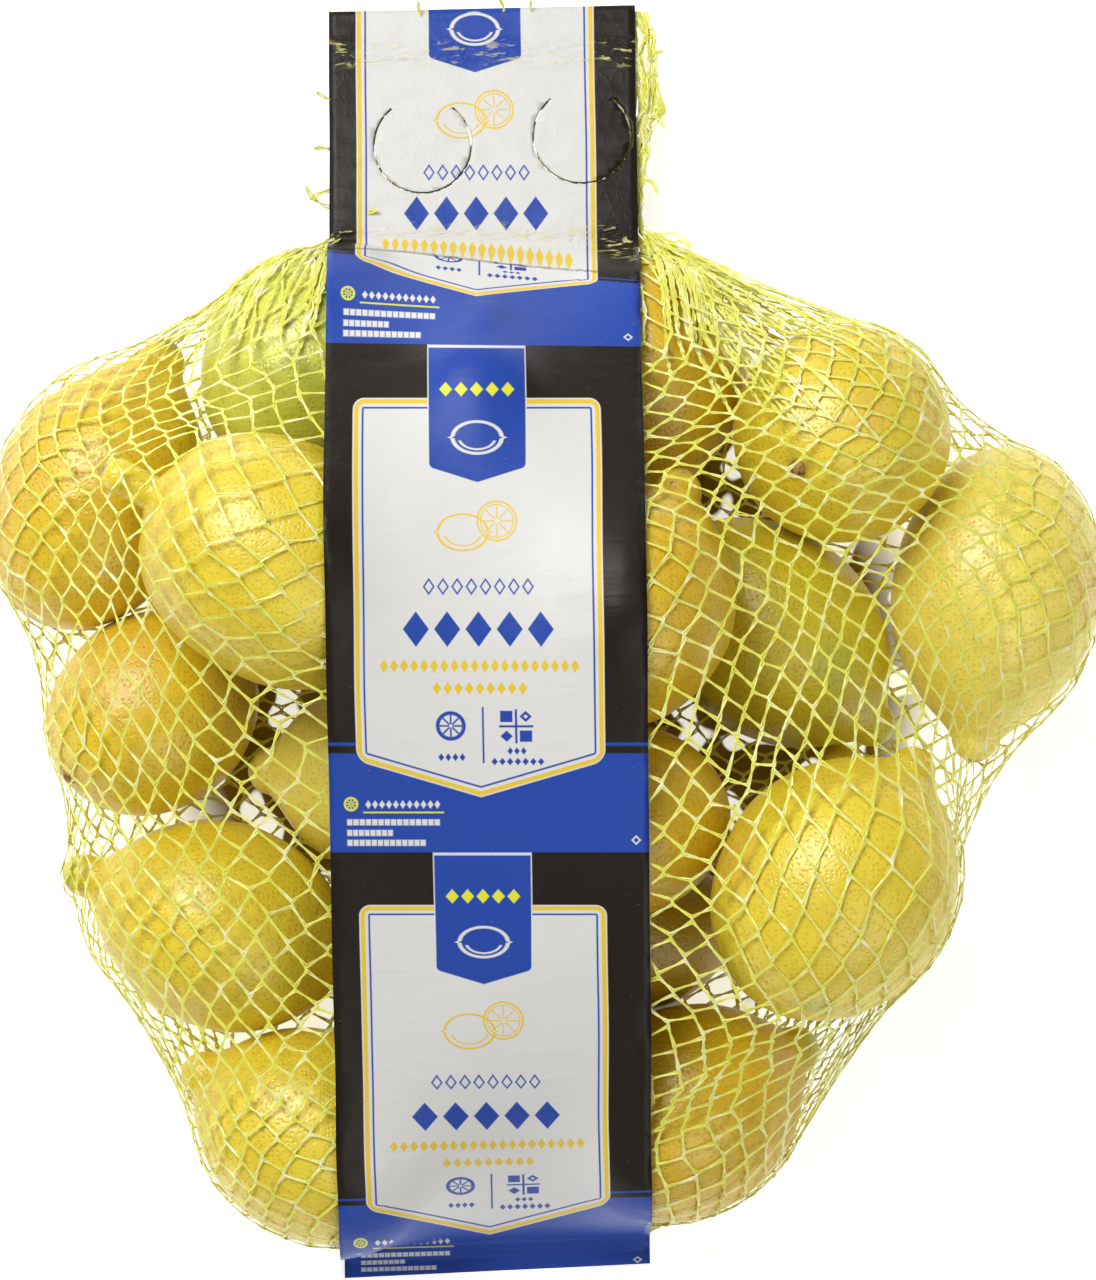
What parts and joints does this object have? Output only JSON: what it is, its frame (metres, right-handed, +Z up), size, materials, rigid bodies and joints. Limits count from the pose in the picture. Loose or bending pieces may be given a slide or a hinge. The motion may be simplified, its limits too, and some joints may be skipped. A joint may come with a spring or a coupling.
{
  "type": "net of lemons",
  "caption": "Knitted yellow tube net packed with lemons, lying on its back, with a printed film band down the front, a welded carrying head with C-shaped grip cuts and a welded foot flap.",
  "frame": {"origin": "middle of the pack's bounding box, on the ground that its back lies on", "axes": "+Z up out of the shown side, +Y along the pack towards its carrying head, +X to the right seen from above"},
  "size_m": [0.299, 0.345, 0.1062],
  "materials": {
    "lemon_peel": "yellow lemon peel with fine pores and a soft waxy shine",
    "net_tape": "thin pale yellow-green polythene tapes, slightly see-through, with bright glints",
    "printed_film": "glossy printed film in black, blue, white and golden yellow, creased at its welds"
  },
  "bodies": {
    "root": {"net_of_lemons": "lemon_peel", "film_front": "printed_film", "film_back": "printed_film"}
  },
  "joints": []
}
